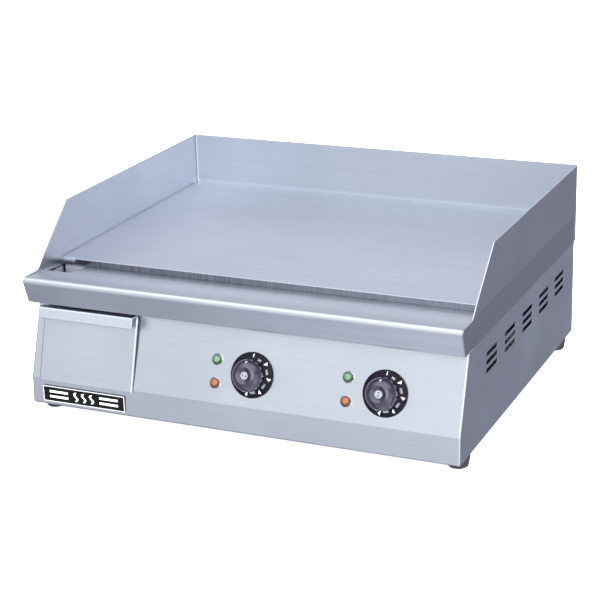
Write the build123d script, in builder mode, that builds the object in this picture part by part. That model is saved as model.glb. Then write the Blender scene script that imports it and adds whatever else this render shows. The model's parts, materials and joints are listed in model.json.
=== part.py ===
from build123d import *
import os
from math import asin, cos, pi, radians, sin, tan

# Countertop electric griddle. X runs across with 0 on the centre line, -Y is the front where the cook
# stands, +Z is up. Z = 0 is the worktop and Y = 0 is the middle of the whole object's depth.

# ---------------------------------------------------------------- driving dimensions, millimetres
shell_width = 610.0  # outside of the splash guard
shell_sheet = 1.5
casing_inset = 2.4  # the casing stands back from the guard's skirt by this much
casing_sheet = 1.2
rear_y = 255.05  # back face of the splash guard
foot_height = 14.0
foot_radius = 13.0

guard_rise = 251.0  # heights above the underside of the casing
deck_rise = 176.0
plate_rise = 175.8
skirt_rise = 140.0
crease_rise = 37.3
panel_rise = 137.4

plate_thickness = 10.0
plate_reach = 413.0  # distances in front of the splash guard's back face
apron_reach = 510.7
crease_reach = 509.1
panel_top_reach = 475.4

nose_radius = 6.0
drain_size = (38.6, 44.0)  # opening in the trough, along X and Y
slot_length = 46.5
slot_width = 6.6

drawer_left = -289.0
drawer_width = 141.0
drawer_foot = -2.6  # the front's lower edge, up the slant from the crease
drawer_top = 97.6
drawer_stand = (3.4, 7.0)  # how far the front stands out from the panel, at its lower edge and its top
lip_reach = 21.0
lip_drop = 14.0
pan_half = 64.5
rim_width = 3.5

knob_x = (19.9, 200.9)
knob_up = 42.0
cap_turns = (-12.0, 78.0)  # where each knob's cap ended up when it was pressed in
dial_radius = 29.6
grip_radius = 21.0
neck_radius = 17.8
spindle_radius = 3.0
lamp_x = (-30.5, 150.5)
lamp_up = (56.0, 25.7)
lamp_radius = 7.9
barrel_radius = 5.0

element_radius = 4.1
leg_pitch = 45.0
zone_centre = 159.5

gland_x = 225.0
gland_rise = 42.0
bond_x = 165.0
bond_rise = 28.0

clear = 0.05  # gap where two pieces only lie against each other
os.makedirs("parts", exist_ok=True)


def ahead(reach):
    return rear_y - reach


def up(rise):
    return foot_height + rise


def finish(builder, name):
    builder.part.label = name
    export_step(builder.part, f"parts/{name}.step")


def route_radii(points, most):
    """Arc radius for each corner: 0.45 of the shorter run over the tangent of half the turn."""
    radii = []
    for before, corner, after in zip(points, points[1:], points[2:]):
        run_in = Vector(corner) - Vector(before)
        run_out = Vector(after) - Vector(corner)
        half_turn = radians(run_in.get_angle(run_out)) / 2
        radii.append(min(most, 0.45 * min(run_in.length, run_out.length) / tan(half_turn)))
    return radii


def make_tube(points, radii, radius, name):
    """A round tube along straight runs joined by tangent arcs. Its volume is checked as it is made."""
    with BuildPart() as tube:
        with BuildLine() as route:
            FilletPolyline(*points, radius=radii)
        with BuildSketch(Plane(origin=route.line @ 0, z_dir=route.line % 0)):
            Circle(radius)
        sweep(path=route.line)
    length = sum(edge.length for edge in route.line.edges())
    ratio = tube.part.volume / (pi * radius**2 * length)
    print(f"{name}: length {length:.0f}, volume ratio {ratio:.4f}, radii", [round(r, 1) for r in radii])
    return tube.part


# ---------------------------------------------------------------- derived places
half_shell = shell_width / 2
half_casing = half_shell - casing_inset
inside_shell = half_shell - shell_sheet
inside_casing = half_casing - casing_sheet
crease_y = ahead(crease_reach)
crease_z = up(crease_rise)
plate_front = ahead(plate_reach)
plate_bottom = up(plate_rise - plate_thickness)

slant = Vector(0, crease_reach - panel_top_reach, panel_rise - crease_rise)
slant_angle = radians(slant.get_angle(Vector(0, 0, 1)))
panel_plane = Plane(
    origin=(0, crease_y, crease_z), x_dir=(1, 0, 0), z_dir=(0, -cos(slant_angle), sin(slant_angle))
)
apron_plane = Plane(
    origin=(0, ahead(apron_reach), up(0)),
    x_dir=(1, 0, 0),
    z_dir=(0, -crease_rise, apron_reach - crease_reach),
)


def on_panel(x, s, n):
    """The point x across, s up the slant from the crease and n out from the panel's face."""
    return panel_plane.from_local_coords((x, s, n))


def slanted(s, n):
    """Y and Z of a point s up the slant and n out from the panel's face."""
    point = on_panel(0, s, n)
    return (point.Y, point.Z)


def slant_y(z, n):
    """Y where the plane n out from the panel's face is at height z."""
    return crease_y + (z - crease_z) * tan(slant_angle) - n / cos(slant_angle)


# ================================================================ cooking top
# The trough floor, the nosing and its return, along the sheet's upper face.
deck_line = [
    (plate_front - 0.3, up(150.0)),
    (plate_front - 0.3, up(167.0)),
    (ahead(511.2), up(176.9)),
    (ahead(498.4), up(139.0)),
    (ahead(472.0), up(139.0)),
]
drain_left = -300.6
drain_centre = (drain_left + drain_size[0] / 2, plate_front - 0.3 - drain_size[1] / 2)

with BuildPart() as front_deck:
    with BuildSketch(Plane.YZ.offset(-inside_shell + clear)):
        with BuildLine():
            FilletPolyline(*deck_line, radius=[2.0, nose_radius, 2.0])
            offset(amount=shell_sheet, side=Side.LEFT)
        make_face()
    extrude(amount=2 * (inside_shell - clear))
    # Drain opening with rounded right-hand corners, kept clear of the upright return behind it.
    with BuildSketch(Plane.XY.offset(up(160.0))):
        with Locations((drain_centre[0], drain_centre[1] - shell_sheet / 2)):
            drain_outline = Rectangle(drain_size[0], drain_size[1] - shell_sheet)
        fillet(drain_outline.vertices().group_by(Axis.X)[-1], radius=9.0)
    extrude(amount=20.0, mode=Mode.SUBTRACT)
    # Bend relief at the trough's left corner: an upright slot in the return.
    with BuildSketch(Plane.XZ.offset(-plate_front - 5.0)):
        with Locations((drain_left + 2.3, up(161.0))):
            RectangleRounded(4.6, 14.0, radius=1.5)
    extrude(amount=10.0, mode=Mode.SUBTRACT)
finish(front_deck, "front_deck")

# End profile of the guard's side sheets: high at the back, sloping to the flat end of the nosing.
side_points = [
    (rear_y - 14.0, up(skirt_rise)),
    (rear_y - 14.0, up(guard_rise)),
    (ahead(388.0), up(guard_rise)),
    (ahead(453.0), up(194.0)),
    (ahead(471.0), up(deck_rise)),
    (ahead(510.8), up(deck_rise)),
    (ahead(498.4), up(skirt_rise - 1.0)),
    (ahead(486.0), up(skirt_rise - 1.0)),
    (ahead(484.0), up(skirt_rise)),
]
side_fillets = [0.0, 0.0, 5.0, 22.0, 9.0, nose_radius, 1.5, 0.0, 0.0]
for side, hand in ((-1, "left"), (1, "right")):
    with BuildPart() as splash_side:
        with BuildSketch(Plane.YZ.offset(min(side * half_shell, side * inside_shell))):
            with BuildLine():
                FilletPolyline(*side_points, radius=side_fillets, close=True)
            make_face()
        extrude(amount=shell_sheet)
    finish(splash_side, f"splash_side_{hand}")

with BuildPart() as splash_back:
    with BuildSketch(Plane.XY.offset(up(skirt_rise))):
        with BuildLine():
            FilletPolyline(
                (-half_shell, rear_y - 14.0),
                (-half_shell, rear_y),
                (half_shell, rear_y),
                (half_shell, rear_y - 14.0),
                radius=4.0,
            )
            offset(amount=shell_sheet, side=Side.RIGHT)
        make_face()
    extrude(amount=guard_rise - skirt_rise)
finish(splash_back, "splash_back")

plate_half = inside_shell - 0.2
plate_depth = plate_reach - shell_sheet - 0.2
with BuildPart() as griddle_plate:
    with BuildSketch(Plane.XY.offset(plate_bottom)):
        with Locations((0, plate_front + plate_depth / 2)):
            plate_outline = Rectangle(2 * plate_half, plate_depth)
        fillet(plate_outline.vertices().group_by(Axis.Y)[-1], radius=4.0)
    extrude(amount=plate_thickness)
    chamfer(griddle_plate.faces().sort_by(Axis.Z)[-1].edges().sort_by(Axis.Y)[0], length=0.8)
    # Spout ground into the front left corner, above the drain opening.
    with BuildSketch(Plane.YZ.offset(-plate_half - 1.0)):
        with BuildLine():
            Polyline(
                (plate_front + 7.0, up(plate_rise) + 1.0),
                (plate_front + 7.0, up(plate_rise)),
                (plate_front + 1.2, up(plate_rise) - 3.0),
                (plate_front - 1.0, up(plate_rise) - 7.0),
                (plate_front - 3.0, up(plate_rise) + 1.0),
                close=True,
            )
        make_face()
    extrude(amount=23.0, mode=Mode.SUBTRACT)
finish(griddle_plate, "griddle_plate")

# Hopper under the drain opening that narrows down to the drawer.
hopper_sheet = 0.8
hopper_top = (drain_left - 0.4, drain_left + drain_size[0])
hopper_back = plate_front - 0.3 - shell_sheet - clear
hopper_front = plate_front - 0.3 - drain_size[1]
hopper_mid = ((hopper_top[0] + hopper_top[1]) / 2, (hopper_back + hopper_front) / 2)
hopper_size = (hopper_top[1] - hopper_top[0], hopper_back - hopper_front)
outlet_mid = (-272.0, hopper_mid[1])
outlet_size = (20.0, 28.0)


def hopper_sections(wall):
    """The hopper's neck and outlet outlines, this far inside its outer faces."""
    with BuildSketch(Plane.XY.offset(up(150.0))) as neck:
        with Locations(hopper_mid):
            Rectangle(hopper_size[0] - 2 * wall, hopper_size[1] - 2 * wall)
    with BuildSketch(Plane.XY.offset(up(112.0))) as outlet:
        with Locations(outlet_mid):
            Rectangle(outlet_size[0] - 2 * wall, outlet_size[1] - 2 * wall)
    return neck.sketch, outlet.sketch


with BuildPart() as drain_chute:
    for wall, overrun, mode in ((0.0, 0.0, Mode.ADD), (hopper_sheet, 1.0, Mode.SUBTRACT)):
        neck, outlet = hopper_sections(wall)
        extrude(neck, amount=15.0 + overrun, mode=mode)
        loft([neck, outlet], mode=mode)
        extrude(outlet, amount=-5.0 - overrun, mode=mode)
    # The trough's bend relief goes on through the hopper's back wall.
    with BuildSketch(Plane.XZ.offset(-hopper_back - 2.0)):
        with Locations((drain_left + 2.3, up(160.0))):
            Rectangle(4.6, 12.0)
    extrude(amount=5.0, mode=Mode.SUBTRACT)
finish(drain_chute, "drain_chute")

# ================================================================ casing
return_depth = 14.0
fold_radius = 2.8
back_of_crease = (ahead(crease_reach) + return_depth, up(crease_rise))
front_line = [
    (ahead(apron_reach) + return_depth, up(0.0)),
    (ahead(apron_reach), up(0.0)),
    (crease_y, crease_z),
    (ahead(panel_top_reach), up(panel_rise)),
    (ahead(panel_top_reach) + return_depth, up(panel_rise)),
]
cutout_bottom = -1.5
cutout_top = 102.0
cutout_width = 2 * (pan_half + rim_width) + 1.4
drawer_x = drawer_left + drawer_width / 2

panel_outline = [*front_line, back_of_crease]
panel_folds = [0.0, fold_radius, 3.0, fold_radius, 0.0, 0.0]
with BuildPart() as front_panel:
    with BuildSketch(Plane.YZ.offset(-half_casing)):
        with BuildLine():
            FilletPolyline(*panel_outline, radius=panel_folds, close=True)
        make_face()
    extrude(amount=2 * half_casing)
    corner_edges = front_panel.edges().filter_by(
        lambda edge: abs(edge.center().X) > half_casing - 0.01
        and edge.length > 20.0
        and edge.center().Y < slant_y(edge.center().Z, -3.0)
    )
    fillet(corner_edges, radius=2.5)
    # Hollow it to a folded sheet, open at the back.
    for nudge in (0.0, 2.5):
        with BuildSketch(Plane(origin=(-inside_casing, nudge, 0), x_dir=(0, 1, 0), z_dir=(1, 0, 0))):
            with BuildLine():
                FilletPolyline(*panel_outline, radius=panel_folds, close=True)
            make_face()
            offset(amount=-casing_sheet)
        extrude(amount=2 * inside_casing, mode=Mode.SUBTRACT)
    # Drawer cut-out, spindle, thermostat screw and lamp holes.
    with BuildSketch(panel_plane.offset(3.0)):
        with Locations((drawer_x, (cutout_bottom + cutout_top) / 2)):
            Rectangle(cutout_width, cutout_top - cutout_bottom)
        for x in knob_x:
            with Locations((x, knob_up)):
                Circle(5.0)
            with Locations((x - 14.0, knob_up), (x + 14.0, knob_up)):
                Circle(2.1)
        for x in lamp_x:
            with Locations((x, lamp_up[0]), (x, lamp_up[1])):
                Circle(barrel_radius + 0.1)
    extrude(amount=-8.0, mode=Mode.SUBTRACT)
finish(front_panel, "front_panel")

base_flange = 30.0
plate_flange = 14.0
web_front_low = ahead(apron_reach) + return_depth
foot_spots = [
    (x, y)
    for x in (-half_casing + 14.0, half_casing - 14.0)
    for y in (ahead(apron_reach - 35.0), ahead(42.0))
]
stud_reaches = (60.0, 210.0, 380.0)
slot_reaches = [386.5 - 77.3 * group for group in range(5)]
for side, hand in ((-1, "left"), (1, "right")):
    with BuildPart() as side_panel:
        with BuildSketch(Plane.XZ.offset(-ahead(casing_inset))):
            with BuildLine():
                FilletPolyline(
                    (side * (half_casing - base_flange), up(0.0)),
                    (side * half_casing, up(0.0)),
                    (side * half_casing, plate_bottom),
                    (side * (half_casing - plate_flange), plate_bottom),
                    radius=1.8,
                )
                offset(amount=casing_sheet, side=Side.LEFT if side > 0 else Side.RIGHT)
            make_face()
        extrude(amount=apron_reach - casing_inset)
        # The front edge follows the front panel's return, and the top is cut away under the trough.
        with BuildSketch(Plane.YZ.offset(-half_shell)):
            with BuildLine():
                Polyline(
                    (web_front_low, up(-5.0)),
                    (web_front_low, up(0.0)),
                    back_of_crease,
                    (ahead(panel_top_reach) + return_depth, up(panel_rise)),
                    (ahead(panel_top_reach) + return_depth, up(147.0)),
                    (ahead(406.0), up(147.0)),
                    (ahead(406.0), up(180.0)),
                    (ahead(540.0), up(180.0)),
                    (ahead(540.0), up(-5.0)),
                    close=True,
                )
            make_face()
        extrude(amount=shell_width, mode=Mode.SUBTRACT)
        with BuildSketch(Plane.YZ.offset(-half_shell)):
            for reach in slot_reaches:
                with Locations(*[(ahead(reach), up(rise)) for rise in (109.2, 98.2, 87.2)]):
                    SlotOverall(slot_length, slot_width)
        extrude(amount=shell_width, mode=Mode.SUBTRACT)
        with BuildSketch(Plane.XY.offset(up(-2.0))):
            with Locations(*foot_spots):
                Circle(2.6)
        extrude(amount=5.0, mode=Mode.SUBTRACT)
        with BuildSketch(Plane.XY.offset(plate_bottom - 3.0)):
            with Locations(*[(side * 295.0, ahead(reach)) for reach in stud_reaches]):
                Circle(3.3)
        extrude(amount=5.0, mode=Mode.SUBTRACT)
    finish(side_panel, f"side_panel_{hand}")

rear_face = ahead(casing_inset)
rear_flange = 12.0
rear_screw_spots = [(x, rise) for x in (-270.0, -90.0, 90.0, 270.0) for rise in (12.0, 128.0)]
with BuildPart() as rear_panel:
    with BuildSketch(Plane.XY.offset(up(3.0))):
        with BuildLine():
            FilletPolyline(
                (-inside_casing + clear, rear_face - rear_flange),
                (-inside_casing + clear, rear_face),
                (inside_casing - clear, rear_face),
                (inside_casing - clear, rear_face - rear_flange),
                radius=2.0,
            )
            offset(amount=casing_sheet, side=Side.RIGHT)
        make_face()
    extrude(amount=150.0)
    with BuildSketch(Plane.XZ.offset(-rear_face - 1.0)):
        for x in (-200.0, -120.0, -40.0, 40.0):
            with Locations(*[(x, up(rise)) for rise in (72.0, 84.0, 96.0)]):
                SlotOverall(60.0, 5.0)
        with Locations((gland_x, up(gland_rise))):
            Circle(10.1)
        with Locations((bond_x, up(bond_rise))):
            Circle(4.1)
        with Locations(*[(x, up(rise)) for x, rise in rear_screw_spots]):
            Circle(2.1)
    extrude(amount=5.0, mode=Mode.SUBTRACT)
finish(rear_panel, "rear_panel")

base_bottom = up(casing_sheet)
base_half = inside_casing - casing_sheet - 1.3
base_front = ahead(apron_reach) + 4.0
base_back = rear_face - casing_sheet - clear
upstand_rise = 18.0
with BuildPart() as base_plate:
    with BuildSketch(Plane.YZ.offset(-base_half)):
        with BuildLine():
            FilletPolyline(
                (base_front, base_bottom), (base_back, base_bottom), (base_back, up(upstand_rise)), radius=2.0
            )
            offset(amount=casing_sheet, side=Side.LEFT)
        make_face()
    extrude(amount=2 * base_half)
    with BuildSketch(Plane.XY.offset(base_bottom - 1.0)):
        with Locations(*foot_spots):
            Circle(2.6)
        for x in (-60.0, 20.0, 100.0):
            with Locations(*[(x, ahead(reach)) for reach in (120.0, 135.0, 150.0, 300.0, 315.0, 330.0)]):
                SlotOverall(50.0, 5.0)
    extrude(amount=3.0, mode=Mode.SUBTRACT)
    with BuildSketch(Plane.XZ.offset(-base_back - 1.0)):
        with Locations(*[(x, up(rise)) for x, rise in rear_screw_spots if rise < upstand_rise]):
            Circle(1.7)
    extrude(amount=4.0, mode=Mode.SUBTRACT)
finish(base_plate, "base_plate")

# Self-tapping pan-head screws of the rear panel, all alike: four into the base plate's upstand and four
# into the heat shield's rear hangers.
with BuildPart() as casing_screws:
    for x, rise in rear_screw_spots:
        with BuildSketch(Plane.XZ.offset(-rear_face)):
            with Locations((x, up(rise))):
                Circle(3.8)
        extrude(amount=-2.2)
        with BuildSketch(Plane.XZ.offset(-rear_face)):
            with Locations((x, up(rise))):
                Circle(1.65)
        extrude(amount=9.0)
    head_rims = casing_screws.edges().filter_by(GeomType.CIRCLE).group_by(Axis.Y)[-1]
    fillet(head_rims, radius=1.2)
finish(casing_screws, "casing_screws")

with BuildPart() as badge_plate:
    with BuildSketch(apron_plane.offset(clear)):
        with Locations((-222.5, 17.0)):
            RectangleRounded(124.0, 22.0, radius=1.5)
    extrude(amount=1.4)
    chamfer(badge_plate.faces().sort_by(Axis.Y)[0].edges(), length=0.3)
finish(badge_plate, "badge_plate")

for x, y in foot_spots:
    row = "front" if y < 0 else "rear"
    hand = "left" if x < 0 else "right"
    with BuildPart() as foot:
        with BuildSketch(Plane.XZ):
            with BuildLine():
                Polyline(
                    (2.6, 7.0),
                    (2.6, foot_height),
                    (foot_radius + 2.0, foot_height),
                    (foot_radius + 1.6, foot_height - 3.0),
                    (foot_radius, 1.5),
                    (foot_radius - 1.5, 0.0),
                    (6.0, 0.0),
                    (6.0, 7.0),
                    close=True,
                )
            make_face()
        revolve(axis=Axis.Z)
        foot_ring = foot.part
    with BuildPart() as placed_foot:
        with Locations((x, y, 0)):
            add(foot_ring)
    finish(placed_foot, f"foot_{row}_{hand}")

# M5 pan-head screw, washer face and nut at each foot.
nut_seat = base_bottom + casing_sheet
with BuildPart() as foot_screws:
    for x, y in foot_spots:
        for radius, low, high in ((4.8, 3.6, 7.0), (2.45, 7.0, nut_seat + 7.0)):
            with BuildSketch(Plane.XY.offset(low)):
                with Locations((x, y)):
                    Circle(radius)
            extrude(amount=high - low)
        with BuildSketch(Plane.XY.offset(nut_seat)):
            with Locations((x, y)):
                RegularPolygon(radius=4.0, side_count=6, major_radius=False)
        extrude(amount=4.0)
finish(foot_screws, "foot_screws")

# ================================================================ grease drawer
drawer_sheet = 1.2
pan_floor = up(37.8)
pan_rim = up(94.7)
pan_back = ahead(262.0)
pan_sheet = 1.0
pan_x = drawer_x


def front_stand(s):
    """How far out from the panel the drawer front's outer face is, s up the slant."""
    low, high = drawer_stand
    return low + (high - low) * (s - drawer_foot) / (drawer_top - drawer_foot)


front_bottom_z = pan_floor - clear - drawer_sheet
rivet_spots = [(drawer_x + x, ahead(484.0)) for x in (-50.0, 0.0, 50.0)]
block_top = drawer_top - 2.4
hem = 2.2
with BuildPart() as drawer_front:
    # The face and its turned-in side edges, hollowed out of one block.
    with BuildSketch(Plane.YZ.offset(drawer_left)):
        with BuildLine():
            Polyline(
                slanted(drawer_foot, drawer_stand[0] - hem),
                slanted(drawer_foot, drawer_stand[0]),
                slanted(block_top, front_stand(block_top)),
                slanted(block_top, front_stand(block_top) - hem),
                close=True,
            )
        make_face()
    extrude(amount=drawer_width)
    side_edges = drawer_front.edges().filter_by(
        lambda edge: edge.length > 60.0
        and abs(edge.tangent_at(0.5).Z) > 0.5
        and panel_plane.to_local_coords(edge.center()).Z > front_stand(drawer_top / 2) - hem / 2
    )
    fillet(side_edges, radius=2.0)
    with BuildSketch(Plane.YZ.offset(drawer_left + drawer_sheet)):
        with BuildLine():
            Polyline(
                slanted(drawer_foot - 1.0, -1.0),
                slanted(drawer_foot - 1.0, front_stand(drawer_foot - 1.0) - drawer_sheet),
                slanted(block_top + 1.0, front_stand(block_top + 1.0) - drawer_sheet),
                slanted(block_top + 1.0, -1.0),
                close=True,
            )
        make_face()
    extrude(amount=drawer_width - 2 * drawer_sheet, mode=Mode.SUBTRACT)
    # Handle lip.
    with BuildSketch(Plane.YZ.offset(drawer_left)):
        with BuildLine():
            FilletPolyline(
                slanted(block_top - 0.6, front_stand(block_top - 0.6)),
                slanted(drawer_top, drawer_stand[1]),
                slanted(drawer_top - 2.6, lip_reach),
                slanted(drawer_top - 2.6 - lip_drop, lip_reach),
                radius=[2.0, 2.2],
            )
            offset(amount=drawer_sheet, side=Side.RIGHT)
        make_face()
    extrude(amount=drawer_width)
    # Flange through the cut-out, under the pan's floor.
    flange_n = drawer_stand[0] - drawer_sheet / 2
    with BuildSketch(Plane.YZ.offset(pan_x - pan_half)):
        with BuildLine():
            Polyline(
                (ahead(470.0), front_bottom_z),
                (slant_y(front_bottom_z, flange_n), front_bottom_z),
                (slant_y(front_bottom_z + drawer_sheet, flange_n), front_bottom_z + drawer_sheet),
                (ahead(470.0), front_bottom_z + drawer_sheet),
                close=True,
            )
        make_face()
    extrude(amount=2 * pan_half)
    with BuildSketch(Plane.XY.offset(front_bottom_z - 1.0)):
        with Locations(*rivet_spots):
            Circle(1.65)
    extrude(amount=4.0, mode=Mode.SUBTRACT)
finish(drawer_front, "drawer_front")

pan_front_n = -0.3
with BuildPart() as drawer_pan:
    for wall, folds, mode in ((0.0, (3.0, 1.6), Mode.ADD), (pan_sheet, (2.0, 0.6), Mode.SUBTRACT)):
        with BuildSketch(Plane.YZ.offset(pan_x - pan_half + wall)):
            with BuildLine():
                FilletPolyline(
                    (pan_back - wall, pan_floor + wall),
                    (pan_back - wall, pan_rim + 2 * wall),
                    (slant_y(pan_rim + 2 * wall, pan_front_n - wall), pan_rim + 2 * wall),
                    (slant_y(pan_floor + wall, pan_front_n - wall), pan_floor + wall),
                    radius=[folds[0], 0.0, 0.0, folds[1]],
                    close=True,
                )
            make_face()
        extrude(amount=2 * (pan_half - wall), mode=mode)
    # Folded rims that hang in the rails.
    for side in (-1, 1):
        with BuildSketch(Plane.XY.offset(pan_rim - pan_sheet)):
            with Locations((pan_x + side * (pan_half + rim_width / 2 - 0.5), (pan_back + ahead(471.0)) / 2)):
                Rectangle(rim_width + 1.0, pan_back - ahead(471.0))
        extrude(amount=pan_sheet)
    with BuildSketch(Plane.XY.offset(pan_floor - 1.0)):
        with Locations(*rivet_spots):
            Circle(1.65)
    extrude(amount=3.0, mode=Mode.SUBTRACT)
finish(drawer_pan, "drawer_pan")

with BuildPart() as drawer_rivets:
    for x, y in rivet_spots:
        for radius, low, high in (
            (3.0, front_bottom_z - 1.0, front_bottom_z),
            (3.0, pan_floor + pan_sheet, pan_floor + pan_sheet + 1.0),
        ):
            with BuildSketch(Plane.XY.offset(low)):
                with Locations((x, y)):
                    Circle(radius)
            extrude(amount=high - low)
        with BuildSketch(Plane.XY.offset(front_bottom_z)):
            with Locations((x, y)):
                Circle(1.6)
        extrude(amount=drawer_sheet + pan_sheet + clear)
finish(drawer_rivets, "drawer_rivets")

# Rail that stands on the base plate: a foot, an upright and two lips above and below the pan's rim.
rail_sheet = 1.2
rail_web = pan_half + rim_width + 0.6 + rail_sheet
rail_front = ahead(467.0)
rail_back = ahead(250.0)
rail_gap = 0.6
for side, hand in ((-1, "left"), (1, "right")):
    with BuildPart() as drawer_rail:
        with BuildSketch(Plane.XZ.offset(-rail_back)):
            with BuildLine():
                web_x = pan_x + side * rail_web
                lip_x = pan_x + side * (pan_half + 1.4)
                FilletPolyline(
                    (pan_x + side * (rail_web - 12.0), nut_seat + clear),
                    (web_x, nut_seat + clear),
                    (web_x, pan_rim + rail_gap + rail_sheet),
                    (lip_x, pan_rim + rail_gap + rail_sheet),
                    radius=1.8,
                )
                offset(amount=rail_sheet, side=Side.LEFT if side > 0 else Side.RIGHT)
            make_face()
        extrude(amount=rail_back - rail_front)
        with BuildSketch(Plane.XY.offset(pan_rim - pan_sheet - rail_gap - rail_sheet)):
            with Locations(((web_x + lip_x) / 2 - side * 0.2, (rail_back + rail_front) / 2)):
                Rectangle(abs(web_x - lip_x) - 0.4, rail_back - rail_front)
        extrude(amount=rail_sheet)
    finish(drawer_rail, f"drawer_rail_{hand}")

# ================================================================ controls
knob_foot = 5.8
crown = 27.67
crown_floor = 24.3
cap_seat = 23.3

for x, hand, cap_turn in zip(knob_x, ("left", "right"), cap_turns):
    knob_axis = Plane(origin=on_panel(x, knob_up, 0), x_dir=panel_plane.x_dir, z_dir=panel_plane.z_dir)
    turning = Plane(origin=knob_axis.origin, x_dir=knob_axis.x_dir, z_dir=-knob_axis.y_dir)

    # Fixed dial ring, dished, with sunk holes for the thermostat screws.
    with BuildPart() as dial:
        with BuildSketch(turning):
            with BuildLine():
                Polyline(
                    (8.5, 0.05),
                    (dial_radius - 0.3, 0.05),
                    (dial_radius, 0.4),
                    (dial_radius, 1.4),
                    (dial_radius - 0.7, 2.0),
                    (18.9, 5.4),
                    (18.4, 5.2),
                    (18.4, 5.0),
                    (8.5, 5.0),
                    close=True,
                )
            make_face()
        revolve(axis=Axis(knob_axis.origin, knob_axis.z_dir))
        for offset_x in (-14.0, 14.0):
            with BuildSketch(knob_axis.offset(2.2)):
                with Locations((offset_x, 0)):
                    Circle(4.0)
            extrude(amount=5.0, mode=Mode.SUBTRACT)
            with BuildSketch(knob_axis):
                with Locations((offset_x, 0)):
                    Circle(2.1)
            extrude(amount=5.0, mode=Mode.SUBTRACT)
    finish(dial, f"dial_{hand}")

    # Domed grip that flares out from a neck to a scalloped rim, with a cone sunk in its crown for the cap.
    with BuildPart() as knob:
        with BuildSketch(turning):
            with BuildLine():
                Line((0, knob_foot), (neck_radius, knob_foot))
                Line((neck_radius, knob_foot), (neck_radius, 9.2))
                Line((neck_radius, 9.2), (grip_radius, 14.0))
                ThreePointArc((grip_radius, 14.0), (18.2, 21.6), (10.6, crown))
                Line((10.6, crown), (5.9, crown_floor))
                Line((5.9, crown_floor), (0, crown_floor))
                Line((0, crown_floor), (0, knob_foot))
            make_face()
        revolve(axis=Axis(knob_axis.origin, knob_axis.z_dir))
        with BuildSketch(knob_axis.offset(8.6)):
            with PolarLocations(grip_radius + 3.4, 16):
                Circle(4.2)
        extrude(amount=12.0, mode=Mode.SUBTRACT)
        # Hollow underside round the boss, the spindle's bore and the cap's seat.
        with BuildSketch(knob_axis.offset(knob_foot)):
            Circle(14.6)
            Circle(5.6, mode=Mode.SUBTRACT)
        extrude(amount=9.7, mode=Mode.SUBTRACT)
        with BuildSketch(knob_axis.offset(knob_foot)):
            Circle(spindle_radius + 0.02)
        extrude(amount=20.0 - knob_foot, mode=Mode.SUBTRACT)
        with BuildSketch(knob_axis.offset(cap_seat)):
            Circle(5.1)
        extrude(amount=2.0, mode=Mode.SUBTRACT)
    finish(knob, f"knob_{hand}")

    with BuildPart() as knob_cap:
        with BuildSketch(knob_axis.offset(cap_seat + clear)):
            Circle(5.0)
        extrude(amount=1.9)
        with BuildSketch(knob_axis.offset(cap_seat + 0.8)):
            with PolarLocations(2.2, 2, start_angle=cap_turn):
                Circle(0.95)
        extrude(amount=2.0, mode=Mode.SUBTRACT)
    finish(knob_cap, f"knob_cap_{hand}")

    with BuildPart() as spindle:
        with BuildSketch(knob_axis.offset(-14.0)):
            Circle(spindle_radius)
        extrude(amount=33.8)
    finish(spindle, f"spindle_{hand}")

    # Capillary thermostat: a metal bracket and bushing on a moulded switch body.
    with BuildPart() as thermostat:
        with BuildSketch(knob_axis.offset(-casing_sheet - clear)):
            RectangleRounded(42.0, 24.0, radius=4.0)
        extrude(amount=-1.6)
        with BuildSketch(knob_axis.offset(-casing_sheet - 1.6)):
            RectangleRounded(44.0, 36.0, radius=3.0)
        extrude(amount=-27.0)
        with BuildSketch(knob_axis.offset(-casing_sheet - 28.6)):
            Circle(12.0)
        extrude(amount=-3.0)
        for tab_x, tab_y in ((-15.0, -12.0), (15.0, -12.0)):
            with BuildSketch(knob_axis.offset(-casing_sheet - 28.6)):
                with Locations((tab_x, tab_y)):
                    Rectangle(6.3, 0.8)
            extrude(amount=-8.0)
        with BuildSketch(knob_axis.offset(-casing_sheet - clear)):
            Circle(4.6)
        extrude(amount=3.0)
        with BuildSketch(knob_axis.offset(-14.6)):
            Circle(spindle_radius + 0.05)
        extrude(amount=20.0, mode=Mode.SUBTRACT)
        with BuildSketch(knob_axis.offset(-12.0)):
            with Locations((-14.0, 0), (14.0, 0)):
                Circle(1.7)
        extrude(amount=14.0, mode=Mode.SUBTRACT)
    finish(thermostat, f"thermostat_{hand}")

with BuildPart() as thermostat_screws:
    for x in knob_x:
        for offset_x in (-14.0, 14.0):
            screw_axis = Plane(
                origin=on_panel(x + offset_x, knob_up, 0),
                x_dir=panel_plane.x_dir,
                z_dir=panel_plane.z_dir,
            )
            with BuildSketch(screw_axis.offset(2.25)):
                Circle(3.6)
            extrude(amount=2.2)
            with BuildSketch(screw_axis.offset(-8.0)):
                Circle(1.65)
            extrude(amount=10.25)
finish(thermostat_screws, "thermostat_screws")

# ================================================================ signal lamps
lens_rim = 6.75
lens_edge = 1.3
lens_height = 5.2
dome_radius = (lens_rim**2 + (lens_height - lens_edge) ** 2) / (2 * (lens_height - lens_edge))
dome_half_angle = asin(lens_rim / dome_radius) / 2
dome_middle = (
    dome_radius * sin(dome_half_angle),
    lens_height - dome_radius * (1 - cos(dome_half_angle)),
)
lamp_spots = [
    (f"{colour}_{hand}", x, s)
    for x, hand in zip(lamp_x, ("left", "right"))
    for colour, s in zip(("green", "orange"), lamp_up)
]


def lamp_axis(x, s):
    """Sketch plane through a lamp's axis, for profiles given as (radius, height above the panel)."""
    return Plane(origin=on_panel(x, s, 0), x_dir=panel_plane.x_dir, z_dir=-panel_plane.y_dir)


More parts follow.
